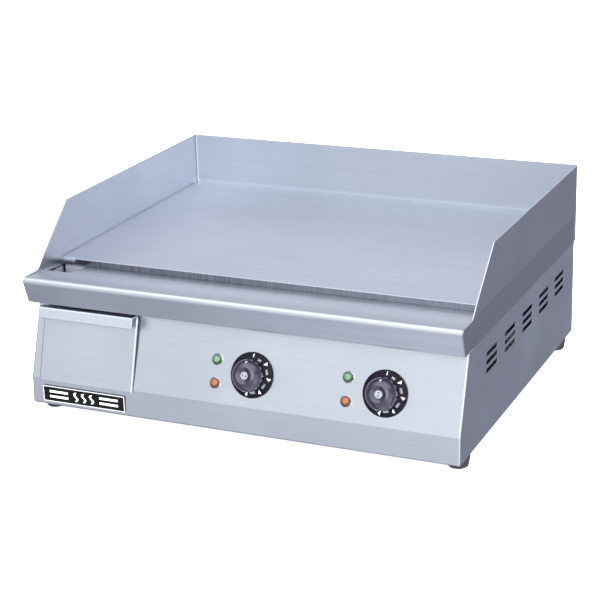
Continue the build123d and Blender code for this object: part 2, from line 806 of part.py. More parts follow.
with BuildPart() as lamp_housings:
    for lamp, x, s in lamp_spots:
        with BuildSketch(lamp_axis(x, s)):
            with BuildLine():
                Polyline(
                    (lens_rim + clear, 0.8),
                    (lens_rim + clear, 1.2),
                    (7.1, 1.7),
                    (lamp_radius - 0.4, 1.4),
                    (lamp_radius, 0.8),
                    (lamp_radius, clear),
                    (barrel_radius, clear),
                    (barrel_radius, -20.0),
                    (3.8, -20.0),
                    (3.8, 0.8),
                    close=True,
                )
            make_face()
        revolve(axis=Axis(on_panel(x, s, 0), panel_plane.z_dir))
finish(lamp_housings, "lamp_housings")

for lamp, x, s in lamp_spots:
    with BuildPart() as lens:
        with BuildSketch(lamp_axis(x, s)):
            with BuildLine():
                Line((0, -6.0), (3.7, -6.0))
                Line((3.7, -6.0), (3.7, 0.85))
                Line((3.7, 0.85), (lens_rim, 0.85))
                Line((lens_rim, 0.85), (lens_rim, lens_edge))
                ThreePointArc((lens_rim, lens_edge), dome_middle, (0, lens_height))
                Line((0, lens_height), (0, -6.0))
            make_face()
        revolve(axis=Axis(on_panel(x, s, 0), panel_plane.z_dir))
    finish(lens, f"lamp_lens_{lamp}")

with BuildPart() as lamp_nuts:
    for lamp, x, s in lamp_spots:
        nut_plane = Plane(origin=on_panel(x, s, -casing_sheet - clear), z_dir=-panel_plane.z_dir)
        with BuildSketch(nut_plane):
            RegularPolygon(radius=7.0, side_count=6, major_radius=False)
            Circle(barrel_radius + 0.02, mode=Mode.SUBTRACT)
        extrude(amount=3.0)
finish(lamp_nuts, "lamp_nuts")

# ================================================================ heating
element_z = plate_bottom - element_radius - clear
element_back = ahead(34.0)
element_front = ahead(372.0)
terminal_y = ahead(399.0)
terminal_z = up(116.0)
pin_length = 12.0
clamp_top = element_z - element_radius - clear
clamp_thickness = 3.0
clamp_reaches = (120.0, 300.0)
bulb_radius = 3.0
bulb_ends = (ahead(150.0), ahead(255.0))
bulb_z = plate_bottom - bulb_radius - clear

for side, hand in ((-1, "left"), (1, "right")):
    legs = [side * zone_centre + leg_pitch * (step - 2.5) for step in range(6)]
    points = [(legs[0], terminal_y, terminal_z), (legs[0], terminal_y, element_z)]
    for index, leg in enumerate(legs):
        far = element_back if index % 2 == 0 else element_front
        points.append((leg, far, element_z))
        if index < 5:
            points.append((legs[index + 1], far, element_z))
    points[-1] = (legs[5], terminal_y, element_z)
    points.append((legs[5], terminal_y, terminal_z))
    bends = [14.0] + [leg_pitch / 2 - 0.5] * 10 + [14.0]
    sheath = make_tube(points, bends, element_radius, f"heating_element_{hand}")
    with BuildPart() as heating_element:
        add(sheath)
        for leg in (legs[0], legs[5]):
            with BuildSketch(Plane.XY.offset(terminal_z)):
                with Locations((leg, terminal_y)):
                    Circle(1.8)
            extrude(amount=-pin_length)
    finish(heating_element, f"heating_element_{hand}")

clamp_stud_x = [side * zone_centre + offset_x for side in (-1, 1) for offset_x in (-90.0, 90.0)]
with BuildPart() as element_clamps:
    for side in (-1, 1):
        for reach in clamp_reaches:
            with BuildSketch(Plane.XY.offset(clamp_top - clamp_thickness)):
                with Locations((side * zone_centre, ahead(reach))):
                    RectangleRounded(248.0, 20.0, radius=3.0)
                    with Locations((-90.0, 0), (90.0, 0)):
                        Circle(3.3, mode=Mode.SUBTRACT)
            extrude(amount=clamp_thickness)
finish(element_clamps, "element_clamps")

hold_spots = [(side * 295.0, ahead(reach)) for side in (-1, 1) for reach in stud_reaches]
clamp_spots = [(x, ahead(reach)) for x in clamp_stud_x for reach in clamp_reaches]
with BuildPart() as plate_studs:
    with BuildSketch(Plane.XY.offset(plate_bottom)):
        with Locations(*hold_spots, *clamp_spots):
            Circle(2.95)
    extrude(amount=-18.5)
finish(plate_studs, "plate_studs")

with BuildPart() as stud_nuts:
    for spots, seat in ((hold_spots, plate_bottom - casing_sheet), (clamp_spots, clamp_top - clamp_thickness)):
        with BuildSketch(Plane.XY.offset(seat - clear)):
            for x, y in spots:
                with Locations((x, y)):
                    RegularPolygon(radius=5.0, side_count=6, major_radius=False)
                    Circle(2.97, mode=Mode.SUBTRACT)
        extrude(amount=-5.0)
finish(stud_nuts, "stud_nuts")

# Tray that closes off the element space and carries the insulation. Its rear hangers take the upper
# screws of the rear panel.
shield_bottom = up(122.0)
shield_half = 284.0
shield_back = base_back
shield_front = ahead(384.0)
shield_sheet = 0.8
wing_length = shield_back - rear_flange - shield_front
wing_y = shield_front + wing_length / 2
with BuildPart() as heat_shield:
    with BuildSketch(Plane.YZ.offset(-shield_half)):
        with BuildLine():
            FilletPolyline(
                (shield_front, shield_bottom + 12.0),
                (shield_front, shield_bottom),
                (shield_back, shield_bottom),
                (shield_back, shield_bottom + 12.0),
                radius=1.5,
            )
            offset(amount=shield_sheet, side=Side.LEFT)
        make_face()
    extrude(amount=2 * shield_half)
    for side in (-1, 1):
        with BuildSketch(Plane.XY.offset(shield_bottom)):
            with Locations((side * (shield_half + inside_casing - clear) / 2, wing_y)):
                Rectangle(inside_casing - shield_half - clear, wing_length)
        extrude(amount=shield_sheet)
    with BuildSketch(Plane.XZ.offset(-shield_back - 1.0)):
        with Locations(*[(x, up(rise)) for x, rise in rear_screw_spots if rise > 22.0]):
            Circle(1.7)
    extrude(amount=4.0, mode=Mode.SUBTRACT)
finish(heat_shield, "heat_shield")

blanket_bottom = shield_bottom + shield_sheet + clear
with BuildPart() as insulation_blanket:
    with BuildSketch(Plane.XY.offset(blanket_bottom)):
        with Locations((0, (shield_back + shield_front) / 2 - 5.0)):
            RectangleRounded(2 * shield_half - 4.0, shield_back - shield_front - 22.0, radius=6.0)
    extrude(amount=18.0)
finish(insulation_blanket, "insulation_blanket")

# Saddles that hold each thermostat bulb against the plate.
with BuildPart() as bulb_clips:
    for side in (-1, 1):
        for reach in (170.0, 235.0):
            centre = side * zone_centre
            arm = bulb_radius + clear
            with BuildSketch(Plane.XZ.offset(-ahead(reach))):
                with BuildLine():
                    FilletPolyline(
                        (centre - 12.0, plate_bottom),
                        (centre - arm, plate_bottom),
                        (centre - arm, bulb_z - arm),
                        (centre + arm, bulb_z - arm),
                        (centre + arm, plate_bottom),
                        (centre + 12.0, plate_bottom),
                        radius=0.0,
                    )
                    offset(amount=0.8, side=Side.RIGHT)
                make_face()
            extrude(amount=12.0)
finish(bulb_clips, "bulb_clips")

# Sensing bulb on the plate and the fine tube from it to the back of its thermostat.
for side, x, hand in ((-1, knob_x[0], "left"), (1, knob_x[1], "right")):
    bulb_x = side * zone_centre
    exit_point = on_panel(x, knob_up, -casing_sheet - 28.6 - 3.0)
    behind = on_panel(x, knob_up, -casing_sheet - 28.6 - 3.0 - 22.0)
    points = [
        (bulb_x, bulb_ends[1], bulb_z),
        (bulb_x, ahead(330.0), bulb_z),
        (bulb_x - side * 22.0, ahead(398.0), up(152.0)),
        (bulb_x - side * 40.0, ahead(402.0), up(112.0)),
        ((bulb_x + x) / 2, ahead(416.0), up(84.0)),
        (x - 24.0, ahead(428.0), up(62.0)),
        tuple(behind),
        tuple(exit_point),
    ]
    fine_tube = make_tube(points, route_radii(points, 30.0), 1.0, f"capillary_{hand}")
    with BuildPart() as capillary:
        add(fine_tube)
        with BuildSketch(Plane.XZ.offset(-bulb_ends[0])):
            with Locations((bulb_x, bulb_z)):
                Circle(bulb_radius)
        extrude(amount=bulb_ends[0] - bulb_ends[1])
    finish(capillary, f"capillary_{hand}")

# ================================================================ electrical entry
block_x = 225.0
block_y = ahead(92.0)
block_size = (64.0, 24.0, 22.0)
block_bottom = nut_seat + clear
with BuildPart() as terminal_block:
    with BuildSketch(Plane.XY.offset(block_bottom)):
        with Locations((block_x, block_y)):
            RectangleRounded(block_size[0], block_size[1], radius=2.0)
    extrude(amount=block_size[2])
    # Barriers between the poles, and a clamp well above each pole.
    with BuildSketch(Plane.XY.offset(block_bottom + block_size[2] - 7.0)):
        for step in (-1.5, -0.5, 0.5, 1.5):
            with Locations((block_x + 14.0 * step, block_y)):
                Rectangle(10.5, block_size[1] + 1.0)
    extrude(amount=8.0, mode=Mode.SUBTRACT)
    with BuildSketch(Plane.XY.offset(block_bottom + block_size[2] - 13.0)):
        for step in (-1.5, -0.5, 0.5, 1.5):
            with Locations((block_x + 14.0 * step, block_y - 5.0), (block_x + 14.0 * step, block_y + 5.0)):
                Circle(2.6)
    extrude(amount=8.0, mode=Mode.SUBTRACT)
finish(terminal_block, "terminal_block")

gland_out = Plane(origin=(gland_x, rear_face, up(gland_rise)), x_dir=(-1, 0, 0), z_dir=(0, 1, 0))
cord_radius = 5.0
with BuildPart() as gland_body:
    with BuildSketch(gland_out.offset(clear)):
        RegularPolygon(radius=12.5, side_count=6, major_radius=False)
    extrude(amount=5.0)
    with BuildSketch(gland_out.offset(5.0)):
        Circle(9.6)
    extrude(amount=7.0)
    with BuildSketch(gland_out.offset(clear)):
        Circle(10.0)
    extrude(amount=-13.0)
    with BuildSketch(gland_out.offset(-14.0)):
        Circle(cord_radius + 1.5)
    extrude(amount=30.0, mode=Mode.SUBTRACT)
finish(gland_body, "gland_body")

with BuildPart() as gland_dome_nut:
    with BuildSketch(gland_out.offset(5.0 + 2 * clear)):
        RegularPolygon(radius=12.0, side_count=6, major_radius=False)
        Circle(9.65, mode=Mode.SUBTRACT)
    extrude(amount=7.0)
    with BuildSketch(gland_out.offset(12.0 + 2 * clear)):
        RegularPolygon(radius=12.0, side_count=6, major_radius=False)
        Circle(cord_radius + 0.1, mode=Mode.SUBTRACT)
    extrude(amount=5.5)
    chamfer(gland_dome_nut.faces().sort_by(Axis.Y)[-1].outer_wire().edges(), length=2.0)
finish(gland_dome_nut, "gland_dome_nut")

with BuildPart() as gland_locknut:
    with BuildSketch(gland_out.offset(-casing_sheet - clear)):
        RegularPolygon(radius=13.0, side_count=6, major_radius=False)
        Circle(10.02, mode=Mode.SUBTRACT)
    extrude(amount=-5.0)
finish(gland_locknut, "gland_locknut")

bond_out = Plane(origin=(bond_x, rear_face, up(bond_rise)), x_dir=(-1, 0, 0), z_dir=(0, 1, 0))
with BuildPart() as bonding_stud:
    for radius, near, far in ((4.0, -14.0, 8.2), (2.95, 8.2, 17.6)):
        with BuildSketch(bond_out.offset(near)):
            Circle(radius)
        extrude(amount=far - near)
    chamfer(bonding_stud.edges().filter_by(GeomType.CIRCLE).group_by(Axis.Y)[-1], length=0.6)
finish(bonding_stud, "bonding_stud")

# Each row is a nut's near face and height, one inside the panel and one outside over a washer.
with BuildPart() as bonding_nuts:
    for near, amount, radius, sides in (
        (-casing_sheet - clear, -6.0, 6.5, 6),
        (clear, 1.6, 8.0, 0),
        (1.6 + 2 * clear, 6.0, 6.5, 6),
    ):
        with BuildSketch(bond_out.offset(near)):
            if sides:
                RegularPolygon(radius=radius, side_count=sides, major_radius=False)
            else:
                Circle(radius)
            Circle(4.02, mode=Mode.SUBTRACT)
        extrude(amount=amount)
finish(bonding_nuts, "bonding_nuts")

# ================================================================ internal wires
wire_radius = 1.4


block_top = block_bottom + block_size[2] - 7.0
wires = []
for x, pole, lane in zip(knob_x, (-1.5, 1.5), (0.0, 34.0)):
    tab = on_panel(x - 15.0, knob_up - 12.0, -casing_sheet - 28.6 - 8.0)
    behind_tab = on_panel(x - 15.0, knob_up - 12.0, -casing_sheet - 28.6 - 8.0 - 30.0)
    route = [
        (block_x + 14.0 * pole, block_y - block_size[1] / 2, block_top - 4.0),
        (block_x + 14.0 * pole, block_y - 52.0, block_top - 4.0),
        (x - 20.0 + lane * 0.4, block_y - 128.0, up(14.0)),
        (x - 15.0 - lane * 0.2, block_y - 236.0, up(24.0)),
        tuple(behind_tab),
        tuple(tab),
    ]
    wires.append(make_tube(route, route_radii(route, 40.0), wire_radius, "thermostat lead"))
with BuildPart() as thermostat_leads:
    add(wires)
finish(thermostat_leads, "thermostat_leads")

wires = []
pin_end = terminal_z - pin_length
for side, x in zip((-1, 1), knob_x):
    near_leg = side * (zone_centre - leg_pitch * 2.5)
    tab = on_panel(x + 15.0, knob_up - 12.0, -casing_sheet - 28.6 - 8.0)
    behind_tab = on_panel(x + 15.0, knob_up - 12.0, -casing_sheet - 28.6 - 8.0 - 26.0)
    route = [
        (near_leg, terminal_y, pin_end),
        (near_leg, terminal_y, pin_end - 24.0),
        ((near_leg + x + 15.0) / 2, terminal_y + 10.0, up(60.0)),
        tuple(behind_tab),
        tuple(tab),
    ]
    wires.append(make_tube(route, route_radii(route, 40.0), wire_radius, "element lead"))
with BuildPart() as element_leads:
    add(wires)
finish(element_leads, "element_leads")
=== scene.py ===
import json
import math

import bpy
from mathutils import Matrix, Vector
from mathutils.bvhtree import BVHTree


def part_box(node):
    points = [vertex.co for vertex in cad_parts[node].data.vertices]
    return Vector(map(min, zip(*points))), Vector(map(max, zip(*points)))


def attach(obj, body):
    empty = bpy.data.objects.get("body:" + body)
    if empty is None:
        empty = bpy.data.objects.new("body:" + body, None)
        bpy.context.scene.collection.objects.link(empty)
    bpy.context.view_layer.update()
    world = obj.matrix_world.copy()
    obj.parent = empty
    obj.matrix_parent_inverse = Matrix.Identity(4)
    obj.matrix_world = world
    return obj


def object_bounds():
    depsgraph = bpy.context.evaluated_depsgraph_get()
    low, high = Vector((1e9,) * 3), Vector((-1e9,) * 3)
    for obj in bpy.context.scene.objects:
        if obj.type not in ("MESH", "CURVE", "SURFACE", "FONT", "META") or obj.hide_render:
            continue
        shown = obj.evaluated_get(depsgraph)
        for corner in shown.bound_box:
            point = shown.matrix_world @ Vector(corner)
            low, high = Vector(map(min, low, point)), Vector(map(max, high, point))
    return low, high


MM = 0.001

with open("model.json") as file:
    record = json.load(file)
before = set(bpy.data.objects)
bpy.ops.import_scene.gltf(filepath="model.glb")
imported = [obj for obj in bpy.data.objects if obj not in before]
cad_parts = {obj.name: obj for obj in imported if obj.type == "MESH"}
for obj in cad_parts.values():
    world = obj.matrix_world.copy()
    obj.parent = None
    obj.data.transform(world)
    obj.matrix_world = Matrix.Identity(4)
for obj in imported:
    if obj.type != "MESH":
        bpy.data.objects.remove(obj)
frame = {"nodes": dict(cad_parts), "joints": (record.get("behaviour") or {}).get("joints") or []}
cad_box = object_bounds()
nodes = frame["nodes"]
joints = {joint["name"]: joint for joint in frame["joints"]}
scene = bpy.context.scene


# ---------------------------------------------------------------- camera
def place_camera():
    """Three-quarter view from the front right, looking down at 19 degrees."""
    low, high = cad_box
    centre = (low + high) / 2
    target = centre + Vector((-30.4, 25.05, -33.7)) * MM
    distance = 2.4401
    azimuth, elevation, roll = (math.radians(a) for a in (24.28, 19.17, -1.66))
    back = Vector(
        (
            math.sin(azimuth) * math.cos(elevation),
            -math.cos(azimuth) * math.cos(elevation),
            math.sin(elevation),
        )
    )
    level_right = Vector((math.cos(azimuth), math.sin(azimuth), 0))
    level_up = back.cross(level_right)
    right = math.cos(roll) * level_right + math.sin(roll) * level_up
    up = math.cos(roll) * level_up - math.sin(roll) * level_right
    data = bpy.data.cameras.new("camera")
    data.lens = 103.66
    data.sensor_width = 36.0
    data.clip_start = 0.05
    data.clip_end = 60.0
    camera = bpy.data.objects.new("camera", data)
    turn = Matrix((right, up, back)).transposed().to_4x4()
    camera.matrix_world = Matrix.Translation(target + back * distance) @ turn
    scene.collection.objects.link(camera)
    scene.camera = camera


place_camera()


# ---------------------------------------------------------------- node helpers
class Graph:
    """A node tree with short calls for the nodes used here."""

    def __init__(self, tree):
        self.tree = tree
        self.tree.nodes.clear()

    def add(self, kind, settings=(), **inputs):
        node = self.tree.nodes.new("ShaderNode" + kind)
        for name, value in dict(settings).items():
            setattr(node, name, value)
        for name, value in inputs.items():
            self.feed(node.inputs[name.replace("_", " ")], value)
        return node

    def feed(self, socket, value):
        if isinstance(value, bpy.types.NodeSocket):
            self.tree.links.new(value, socket)
        elif isinstance(value, (tuple, list, Vector)) and socket.type == "RGBA":
            socket.default_value = (*value, 1.0) if len(value) == 3 else value
        else:
            socket.default_value = value

    def coords(self, scale=(1, 1, 1), shift=(0, 0, 0)):
        place = self.add("TexCoord").outputs["Object"]
        return self.add("Mapping", Vector=place, Scale=scale, Location=shift).outputs["Vector"]

    def noise(self, scale, detail=3.0, rough=0.5, warp=0.0, shift=(0, 0, 0)):
        place = self.coords(scale, shift)
        node = self.add(
            "TexNoise", Vector=place, Scale=1.0, Detail=detail, Roughness=rough, Distortion=warp
        )
        return node.outputs["Fac"]

    def spread(self, value, low, high, to_low, to_high, smooth=False):
        """Maps low..high onto to_low..to_high, held at both ends."""
        kind = "SMOOTHSTEP" if smooth else "LINEAR"
        ends = {"From_Min": low, "From_Max": high, "To_Min": to_low, "To_Max": to_high}
        return self.add("MapRange", {"interpolation_type": kind}, Value=value, **ends).outputs["Result"]

    def sum(self, a, b):
        node = self.add("Math", {"operation": "ADD"})
        self.feed(node.inputs[0], a)
        self.feed(node.inputs[1], b)
        return node.outputs[0]

    def vector(self, kind, a, b):
        """A vector operation on two values; DOT_PRODUCT gives a number, the others a vector."""
        node = self.add("VectorMath", {"operation": kind})
        self.feed(node.inputs[0], a)
        self.feed(node.inputs[1], b)
        return node.outputs["Value" if kind == "DOT_PRODUCT" else "Vector"]

    def mix(self, share, a, b):
        node = self.add("Mix", {"data_type": "RGBA"})
        self.feed(node.inputs[0], share)
        self.feed(node.inputs[6], a)
        self.feed(node.inputs[7], b)
        return node.outputs[2]

    def bump(self, height, distance, strength, normal=None):
        node = self.add("Bump", Height=height, Strength=strength, Distance=distance)
        if normal is not None:
            self.feed(node.inputs["Normal"], normal)
        return node.outputs["Normal"]

    def position(self, axis):
        """The object's own X, Y or Z at each point."""
        return self.add("SeparateXYZ", Vector=self.add("TexCoord").outputs["Object"]).outputs[axis]

    def soft_edges(self, radius):
        return self.add("Bevel", {"samples": 4}, Radius=radius).outputs["Normal"]


def new_look(name, **shader):
    """A material with one Principled shader; fixed numbers sit on the shader's own sockets."""
    material = bpy.data.materials.new(name)
    material.use_nodes = True
    graph = Graph(material.node_tree)
    graph.shader = graph.add("BsdfPrincipled")
    for socket, value in shader.items():
        graph.feed(graph.shader.inputs[socket.replace("_", " ")], value)
    out = graph.add("OutputMaterial")
    graph.tree.links.new(graph.shader.outputs[0], out.inputs["Surface"])
    graph.material = material
    return graph


def tint(colour, factor):
    return tuple(min(1.0, c * factor) for c in colour)


def grain_scale(along, fine, long):
    """Noise scales that stretch the pattern along one axis: fine across the grain, long with it."""
    return tuple(long if axis == along else fine for axis in "xyz")


# ---------------------------------------------------------------- metal looks
def brushed(name, colour, rough, along, edge=0.6 * MM, painted_shading_bands=()):
    """Satin sheet: long grain lines, a cloudy polish, faint wipe marks, and bright edges that are partly
    rubbed wear and partly painted highlight.

    Each band given is a span of Z over which the sheet fades to a painted shade or painted highlight of its
    colour.
    """
    g = new_look(name, Metallic=1.0, Anisotropic=0.35)
    lines = g.noise(grain_scale(along, 1900, 9), detail=2.0, rough=0.7)
    bands = g.noise(grain_scale(along, 260, 3), detail=3.0, rough=0.6, shift=(3.1, 1.7, 0.4))
    cloud = g.noise((7, 7, 7), detail=4.0, rough=0.55, warp=0.4)
    wipes = g.noise(grain_scale(along, 38, 12), detail=5.0, rough=0.7, warp=1.2, shift=(0.7, 2.9, 5.3))
    base = g.mix(g.spread(cloud, 0.3, 0.7, 0, 1), tint(colour, 0.93), tint(colour, 1.05))
    base = g.mix(g.spread(bands, 0.3, 0.7, 0, 0.5), base, tint(colour, 0.9))
    rounded = g.soft_edges(edge)
    facing = g.vector("DOT_PRODUCT", rounded, g.add("NewGeometry").outputs["Normal"])
    # Painted highlight, partly rubbed wear: the base turns paler along edges, where the rounded normal
    # leaves the true one.
    base = g.mix(g.spread(facing, 0.97, 0.75, 0, 0.12, smooth=True), base, (0.93, 0.94, 0.97))
    # Painted shade or painted highlight: each band fades the base to a darker or lighter tone of the
    # colour.
    for start, stop, shade in painted_shading_bands:
        share = g.spread(g.position("Z"), start, stop, 0, 1, smooth=True)
        base = g.mix(share, base, tint(colour, shade))
    g.feed(g.shader.inputs["Base Color"], base)
    polish = g.spread(bands, 0.3, 0.7, rough - 0.045, rough + 0.045)
    polish = g.sum(polish, g.spread(wipes, 0.45, 0.8, 0, 0.05, smooth=True))
    polish = g.sum(polish, g.spread(cloud, 0.3, 0.7, -0.02, 0.03))
    g.feed(g.shader.inputs["Roughness"], polish)
    normal = g.bump(lines, 0.01 * MM, 0.55, rounded)
    normal = g.bump(bands, 0.04 * MM, 0.25, normal)
    g.feed(g.shader.inputs["Normal"], g.bump(cloud, 0.6 * MM, 0.05, normal))
    g.feed(g.shader.inputs["Tangent"], g.add("CombineXYZ", **{along.upper(): 1.0}).outputs[0])
    return g.material


def ground_plate(name, colour, rough):
    """The cooking surface: belt-ground lines, a seasoned tint in soft pools and fine scraper marks."""
    g = new_look(name, Metallic=1.0, Anisotropic=0.3)
    lines = g.noise(grain_scale("x", 2300, 14), detail=2.0, rough=0.7)
    passes = g.noise(grain_scale("x", 70, 2.2), detail=4.0, rough=0.6)
    pools = g.noise((5, 5, 5), detail=4.0, rough=0.5, warp=0.6)
    marks = g.noise(grain_scale("y", 520, 6), detail=1.0, rough=0.4, warp=0.25, shift=(1.3, 0.2, 2.2))
    base = g.mix(g.spread(pools, 0.3, 0.7, 0, 1), tint(colour, 0.95), tint(colour, 1.04))
    base = g.mix(g.spread(passes, 0.35, 0.7, 0, 0.4), base, tint(colour, 0.92))
    # The front edge is dark: partly scale and partly painted shade, and the painted shade deepens towards
    # the drain at the left.
    facing = g.add("SeparateXYZ", Vector=g.add("NewGeometry").outputs["True Normal"]).outputs["Y"]
    streaks = g.noise((700, 700, 25), detail=2.0, rough=0.6)
    scale = g.mix(g.spread(g.position("X"), -0.27, 0.2, 0, 1), (0.1, 0.105, 0.14), (0.24, 0.25, 0.29))
    scale = g.mix(g.spread(streaks, 0.4, 0.7, 0, 0.45), scale, (0.42, 0.42, 0.47))
    base = g.mix(g.spread(facing, -0.6, -0.85, 0, 1), base, scale)
    g.feed(g.shader.inputs["Base Color"], base)
    polish = g.spread(passes, 0.3, 0.7, rough - 0.04, rough + 0.04)
    polish = g.sum(polish, g.spread(marks, 0.62, 0.72, 0, 0.06, smooth=True))
    g.feed(g.shader.inputs["Roughness"], polish)
    normal = g.bump(lines, 0.012 * MM, 0.5, g.soft_edges(0.9 * MM))
    normal = g.bump(g.spread(marks, 0.64, 0.72, 0, 1, smooth=True), 0.01 * MM, 0.4, normal)
    g.feed(g.shader.inputs["Normal"], g.bump(pools, 0.8 * MM, 0.04, normal))
    g.feed(g.shader.inputs["Tangent"], g.add("CombineXYZ", X=1.0).outputs[0])
    return g.material


def plain_metal(name, colour, rough, dull=0.1, scale=160, spangle=0.0, metallic=1.0, edge=0.3 * MM):
    """Plated, drawn or galvanised metal with a mottled finish."""
    g = new_look(name, Metallic=metallic)
    mottle = g.noise((scale, scale, scale), detail=4.0, rough=0.6)
    fine = g.noise((scale * 9,) * 3, detail=2.0, rough=0.6)
    base = g.mix(g.spread(mottle, 0.3, 0.7, 0, 1), tint(colour, 1 - dull), tint(colour, 1 + dull * 0.6))
    if spangle:
        cells = g.add("TexVoronoi", Vector=g.coords((110, 110, 110)), Scale=1.0)
        flake = g.add("SeparateColor", Color=cells.outputs["Color"]).outputs[0]
        base = g.mix(g.spread(flake, 0, 1, 0, spangle), base, tint(colour, 0.72))
    g.feed(g.shader.inputs["Base Color"], base)
    g.feed(g.shader.inputs["Roughness"], g.spread(mottle, 0.3, 0.7, rough - 0.06, rough + 0.08))
    g.feed(g.shader.inputs["Normal"], g.bump(fine, 0.03 * MM, 0.25, g.soft_edges(edge)))
    return g.material


# ---------------------------------------------------------------- other looks
def moulded(name, colour, rough, grain=900, depth=0.03 * MM, lift=1.5, shine=0.5, **shader):
    """Moulded plastic, rubber or ceramic: fine texture, faint handling marks."""
    g = new_look(name, Coat_Roughness=0.12, Specular_IOR_Level=shine, **shader)
    fine = g.noise((grain, grain, grain), detail=3.0, rough=0.6)
    cloud = g.noise((45, 45, 45), detail=4.0, rough=0.6, warp=0.5)
    base = g.mix(g.spread(cloud, 0.3, 0.75, 0, 1), colour, tint(colour, lift))
    g.feed(g.shader.inputs["Base Color"], base)
    g.feed(g.shader.inputs["Roughness"], g.spread(cloud, 0.3, 0.7, rough - 0.05, rough + 0.08))
    g.feed(g.shader.inputs["Normal"], g.bump(fine, depth, 0.35, g.soft_edges(0.3 * MM)))
    return g.material


def lens(name, node, crown, lower_rim_painted_shade, upper_rim_painted_reflection):
    """Signal lens: lighter over the crown, with painted shade round the lower rim and a greyer painted
    reflection round the upper one.
    """
    low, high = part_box(node)
    g = new_look(name, Coat_Weight=0.5, Coat_Roughness=0.05, IOR=1.5)
    # The lamps' axes are parallel to the knobs', so a joint's axis gives the distance from the lens's own.
    inward = Vector(joints["left_thermostat_turn"]["axis"])
    offset = g.vector("SUBTRACT", g.add("TexCoord").outputs["Object"], (low + high) / 2)
    away = g.add("VectorMath", {"operation": "LENGTH"})
    g.feed(away.inputs[0], g.vector("CROSS_PRODUCT", offset, inward))
    upward = g.add("SeparateXYZ", Vector=offset).outputs["Z"]
    ribs = g.noise((700, 700, 700), detail=2.0)
    # Painted shade on the lower rim and painted reflection on the upper rim, picked by height.
    rim = g.mix(g.spread(upward, -2 * MM, 4 * MM, 0, 1, smooth=True), lower_rim_painted_shade, upper_rim_painted_reflection)
    base = g.mix(g.spread(away.outputs["Value"], 2.8 * MM, 4.8 * MM, 0, 1, smooth=True), crown, rim)
    base = g.mix(g.spread(ribs, 0.3, 0.7, 0, 0.25), base, tint(crown, 1.15))
    g.feed(g.shader.inputs["Base Color"], base)
    g.feed(g.shader.inputs["Roughness"], g.spread(ribs, 0.3, 0.7, 0.12, 0.22))
    g.feed(g.shader.inputs["Normal"], g.bump(ribs, 0.08 * MM, 0.3))
    return g.material


def fibre(name, colour):
    """Matted ceramic fibre."""
    g = new_look(name, Roughness=0.95)
    strands = g.noise((350, 350, 60), detail=6.0, rough=0.75, warp=2.0)
    base = g.mix(g.spread(strands, 0.3, 0.7, 0, 1), tint(colour, 0.78), colour)
    g.feed(g.shader.inputs["Base Color"], base)
    g.feed(g.shader.inputs["Normal"], g.bump(strands, 0.6 * MM, 0.7))
    return g.material


def ink(name, colour, rough=0.4):
    """Printed ink with fine specks."""
    g = new_look(name)
    speck = g.noise((2600, 2600, 2600), detail=2.0)
    g.feed(g.shader.inputs["Base Color"], g.mix(g.spread(speck, 0.3, 0.7, 0, 1), tint(colour, 0.9), colour))
    g.feed(g.shader.inputs["Roughness"], g.spread(speck, 0.3, 0.7, rough - 0.05, rough + 0.1))
    g.feed(g.shader.inputs["Normal"], g.bump(speck, 0.02 * MM, 0.2))
    return g.material


STEEL = (0.62, 0.645, 0.71)
# The guards' steel is toned a little darker than the rest: a painted shade.
SHADED_GUARD_STEEL = tint(STEEL, 0.96)
plate_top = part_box("griddle_plate")[1].z
deck_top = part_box("front_deck")[1].z
panel_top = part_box("front_panel")[1].z
lip_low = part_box("drawer_front")[1].z - 13.2 * MM
